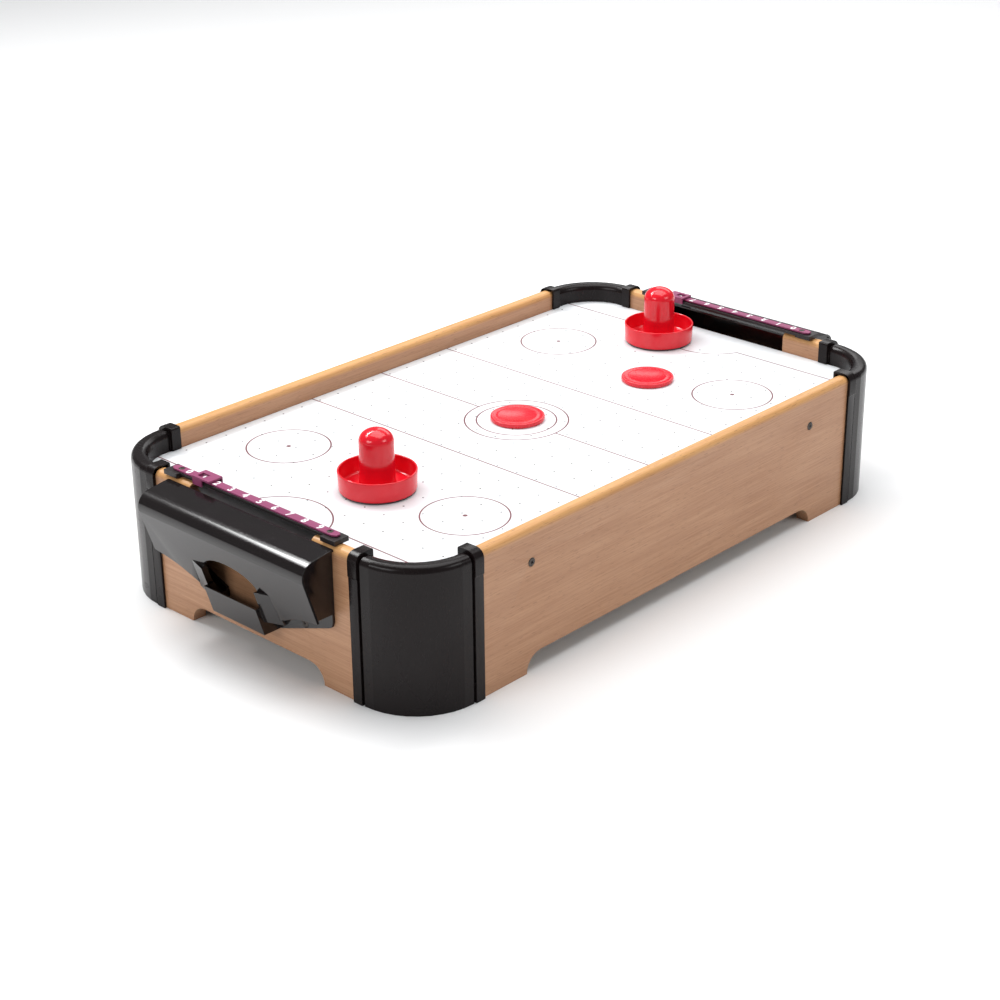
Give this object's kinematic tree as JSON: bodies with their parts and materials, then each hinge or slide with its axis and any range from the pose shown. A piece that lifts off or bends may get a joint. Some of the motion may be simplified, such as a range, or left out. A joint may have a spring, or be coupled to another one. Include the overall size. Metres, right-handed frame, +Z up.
{
  "type": "tabletop air hockey table",
  "caption": "Small tabletop air hockey table with wooden rails, black rounded corners, goal hoods with puck trays, sliding score markers, pushers, pucks and a fan.",
  "frame": {"origin": "on the floor, under the middle of the playing field", "axes": "+Y along the table's length, +X across it, +Z up"},
  "size_m": [0.311, 0.564, 0.1337],
  "materials": {
    "wood_print": "printed wood-grain wrap, satin",
    "post_plastic": "smooth moulded black plastic",
    "hood_plastic": "high-gloss moulded black plastic",
    "raw_board": "bare fibreboard and softwood",
    "white_board": "smooth white laminated playing surface with printed lines",
    "purple_plastic": "satin moulded plastic",
    "dark_steel": "black-oxide steel",
    "red_plastic": "glossy moulded red plastic",
    "felt": "short felt",
    "grey_plastic": "fine-textured moulded plastic",
    "bright_metal": "plated steel",
    "cell_wrap": "plain shrink sleeve",
    "wire": "soft PVC insulation"
  },
  "bodies": {
    "table": {"side_panel_left": "wood_print", "side_panel_right": "wood_print", "end_panel_near": "wood_print", "end_panel_far": "wood_print", "corner_post_near_left": "post_plastic", "corner_post_near_right": "post_plastic", "corner_post_far_left": "post_plastic", "corner_post_far_right": "post_plastic", "base_board": "raw_board", "side_batten_left": "raw_board", "side_batten_right": "raw_board", "end_batten_near": "raw_board", "end_batten_far": "raw_board", "play_board": "white_board", "goal_hood_near": "hood_plastic", "goal_hood_far": "hood_plastic", "score_beam_near": "hood_plastic", "score_beam_far": "hood_plastic", "score_strip_near": "purple_plastic", "score_strip_far": "purple_plastic", "panel_screw_1": "dark_steel", "panel_screw_2": "dark_steel", "panel_screw_3": "dark_steel", "panel_screw_4": "dark_steel", "hood_screw_near_1": "dark_steel", "hood_screw_near_2": "dark_steel", "hood_screw_far_1": "dark_steel", "hood_screw_far_2": "dark_steel", "strip_screw_near_1": "dark_steel", "strip_screw_near_2": "dark_steel", "strip_screw_far_1": "dark_steel", "strip_screw_far_2": "dark_steel", "module_screw_1": "dark_steel", "module_screw_2": "dark_steel", "module_screw_3": "dark_steel", "module_screw_4": "dark_steel", "fan_housing": "grey_plastic", "battery_box": "grey_plastic", "switch_body": "grey_plastic", "fan_motor": "bright_metal", "battery_contact_1": "bright_metal", "battery_contact_2": "bright_metal", "battery_1": "cell_wrap", "battery_2": "cell_wrap", "battery_3": "cell_wrap", "battery_4": "cell_wrap", "wire_battery_to_switch": "wire", "wire_battery_to_blower": "wire", "wire_switch_to_blower": "wire"},
    "pusher_near": {"pusher_near": "red_plastic", "pusher_felt_near": "felt"},
    "pusher_far": {"pusher_far": "red_plastic", "pusher_felt_far": "felt"},
    "puck_centre": {"puck_centre": "red_plastic"},
    "puck_far": {"puck_far": "red_plastic"},
    "score_slider_near": {"score_slider_near": "purple_plastic"},
    "score_slider_far": {"score_slider_far": "purple_plastic"},
    "fan_impeller": {"fan_impeller": "grey_plastic"},
    "battery_door": {"battery_door": "grey_plastic"},
    "switch_rocker": {"switch_rocker": "red_plastic"}
  },
  "joints": [
    {"name": "pusher_near_slide", "type": "slide", "parent": "table", "child": "pusher_near", "axis": [0, 1, 0], "range_m": [-0.063, 0.108]},
    {"name": "pusher_far_slide", "type": "slide", "parent": "table", "child": "pusher_far", "axis": [0, 1, 0], "range_m": [-0.158, 0.0172]},
    {"name": "puck_centre_glide", "type": "slide", "parent": "table", "child": "puck_centre", "axis": [0, 1, 0], "range_m": [-0.108, 0.088]},
    {"name": "puck_far_glide", "type": "slide", "parent": "table", "child": "puck_far", "axis": [0, 1, 0], "range_m": [-0.089, 0.098]},
    {"name": "score_near_slide", "type": "slide", "parent": "table", "child": "score_slider_near", "axis": [1, 0, 0], "range_m": [-0.014, 0.112]},
    {"name": "score_far_slide", "type": "slide", "parent": "table", "child": "score_slider_far", "axis": [1, 0, 0], "range_m": [-0.014, 0.11]},
    {"name": "fan_spin", "type": "hinge", "parent": "table", "child": "fan_impeller", "pos_m": [0, 0, 0.0625], "axis": [0, 0, 1], "continuous": true},
    {"name": "battery_door_slide", "type": "slide", "parent": "table", "child": "battery_door", "axis": [0, 1, 0], "range_m": [0, 0.055]},
    {"name": "switch_rock", "type": "hinge", "parent": "table", "child": "switch_rocker", "pos_m": [-0.05, 0.105, 0.0375], "axis": [0, 1, 0], "range_deg": [-7, 7]}
  ]
}
